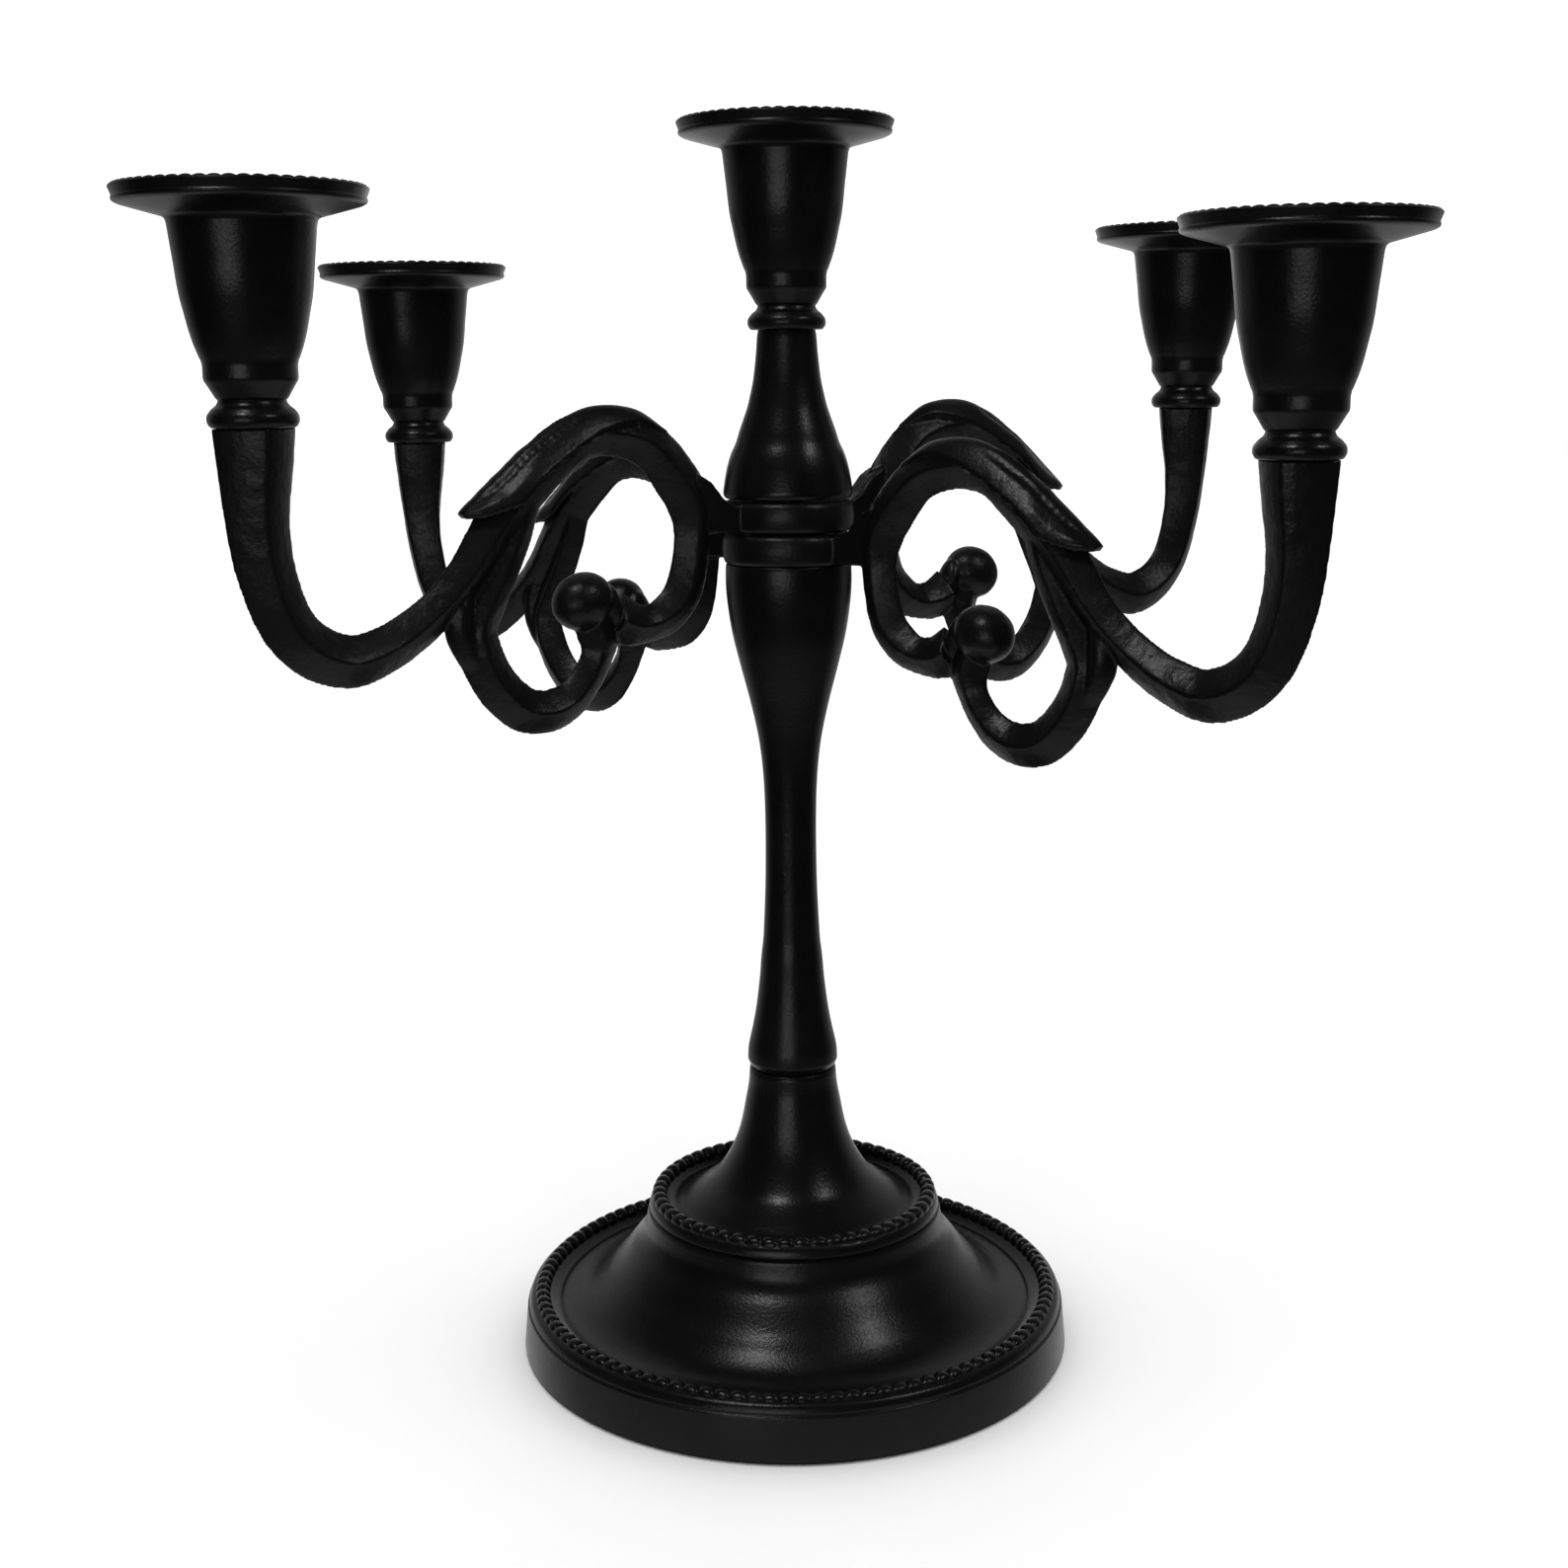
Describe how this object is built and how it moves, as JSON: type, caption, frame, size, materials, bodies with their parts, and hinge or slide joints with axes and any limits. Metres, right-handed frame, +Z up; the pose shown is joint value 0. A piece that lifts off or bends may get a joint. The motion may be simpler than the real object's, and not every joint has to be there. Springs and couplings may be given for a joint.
{
  "type": "five-light candelabrum",
  "caption": "Table candelabrum: baluster column on a round beaded foot, scrolled leaf arms that swivel on stacked collars, and screw-on candle cups with beaded drip pans.",
  "frame": {"origin": "on the axis of the column, at the surface that the foot stands on", "axes": "+Z up along the column; -Y is the front, between the front left and front right arms"},
  "size_m": [0.24, 0.1926, 0.27],
  "materials": {
    "satin_black_paint": "satin black paint over a slightly grainy casting",
    "satin_black_textured": "satin black paint over a rough sand casting",
    "zinc_plated_steel": "bright zinc plate"
  },
  "bodies": {
    "stand": {"base_foot": "satin_black_paint", "stem_column": "satin_black_paint", "upper_stem": "satin_black_paint", "tie_rod": "zinc_plated_steel", "plate_washer": "zinc_plated_steel", "lock_washer": "zinc_plated_steel", "base_nut": "zinc_plated_steel"},
    "lower_arms": {"lower_arm_casting": "satin_black_textured"},
    "upper_arms": {"upper_arm_casting": "satin_black_textured"},
    "stud_centre": {"stud_centre": "zinc_plated_steel"},
    "cup_centre": {"cup_centre": "satin_black_paint"},
    "stud_front_left": {"stud_front_left": "zinc_plated_steel"},
    "cup_front_left": {"cup_front_left": "satin_black_paint"},
    "stud_front_right": {"stud_front_right": "zinc_plated_steel"},
    "cup_front_right": {"cup_front_right": "satin_black_paint"},
    "stud_rear_left": {"stud_rear_left": "zinc_plated_steel"},
    "cup_rear_left": {"cup_rear_left": "satin_black_paint"},
    "stud_rear_right": {"stud_rear_right": "zinc_plated_steel"},
    "cup_rear_right": {"cup_rear_right": "satin_black_paint"}
  },
  "joints": [
    {"name": "lower_arms_turn", "type": "hinge", "parent": "stand", "child": "lower_arms", "pos_m": [0, 0, 0.1813], "axis": [0, 0, 1], "continuous": true},
    {"name": "upper_arms_turn", "type": "hinge", "parent": "lower_arms", "child": "upper_arms", "pos_m": [0, 0, 0.1883], "axis": [0, 0, 1], "range_deg": [-50, 80]},
    {"name": "stud_centre_lift", "type": "slide", "parent": "stand", "child": "stud_centre", "axis": [0, 0, 1], "range_m": [0, 0.0051]},
    {"name": "cup_centre_unscrew", "type": "hinge", "parent": "stud_centre", "child": "cup_centre", "pos_m": [0, 0, 0.2272], "axis": [0, 0, 1], "range_deg": [0, 1800]},
    {"name": "stud_front_left_lift", "type": "slide", "parent": "upper_arms", "child": "stud_front_left", "axis": [0, 0, 1], "range_m": [0, 0.0051]},
    {"name": "cup_front_left_unscrew", "type": "hinge", "parent": "stud_front_left", "child": "cup_front_left", "pos_m": [-0.09738, -0.06593, 0.2092], "axis": [0, 0, 1], "range_deg": [0, 1800]},
    {"name": "stud_front_right_lift", "type": "slide", "parent": "lower_arms", "child": "stud_front_right", "axis": [0, 0, 1], "range_m": [0, 0.0051]},
    {"name": "cup_front_right_unscrew", "type": "hinge", "parent": "stud_front_right", "child": "cup_front_right", "pos_m": [0.09165, -0.07369, 0.2022], "axis": [0, 0, 1], "range_deg": [0, 1800]},
    {"name": "stud_rear_left_lift", "type": "slide", "parent": "lower_arms", "child": "stud_rear_left", "axis": [0, 0, 1], "range_m": [0, 0.0051]},
    {"name": "cup_rear_left_unscrew", "type": "hinge", "parent": "stud_rear_left", "child": "cup_rear_left", "pos_m": [-0.09165, 0.07369, 0.2022], "axis": [0, 0, 1], "range_deg": [0, 1800]},
    {"name": "stud_rear_right_lift", "type": "slide", "parent": "upper_arms", "child": "stud_rear_right", "axis": [0, 0, 1], "range_m": [0, 0.0051]},
    {"name": "cup_rear_right_unscrew", "type": "hinge", "parent": "stud_rear_right", "child": "cup_rear_right", "pos_m": [0.09738, 0.06593, 0.2092], "axis": [0, 0, 1], "range_deg": [0, 1800]}
  ],
  "couplings": [
    {"joint": "stud_centre_lift", "follows": "cup_centre_unscrew", "m_per_rad": 0.00015915},
    {"joint": "stud_front_left_lift", "follows": "cup_front_left_unscrew", "m_per_rad": 0.00015915},
    {"joint": "stud_front_right_lift", "follows": "cup_front_right_unscrew", "m_per_rad": 0.00015915},
    {"joint": "stud_rear_left_lift", "follows": "cup_rear_left_unscrew", "m_per_rad": 0.00015915},
    {"joint": "stud_rear_right_lift", "follows": "cup_rear_right_unscrew", "m_per_rad": 0.00015915}
  ]
}
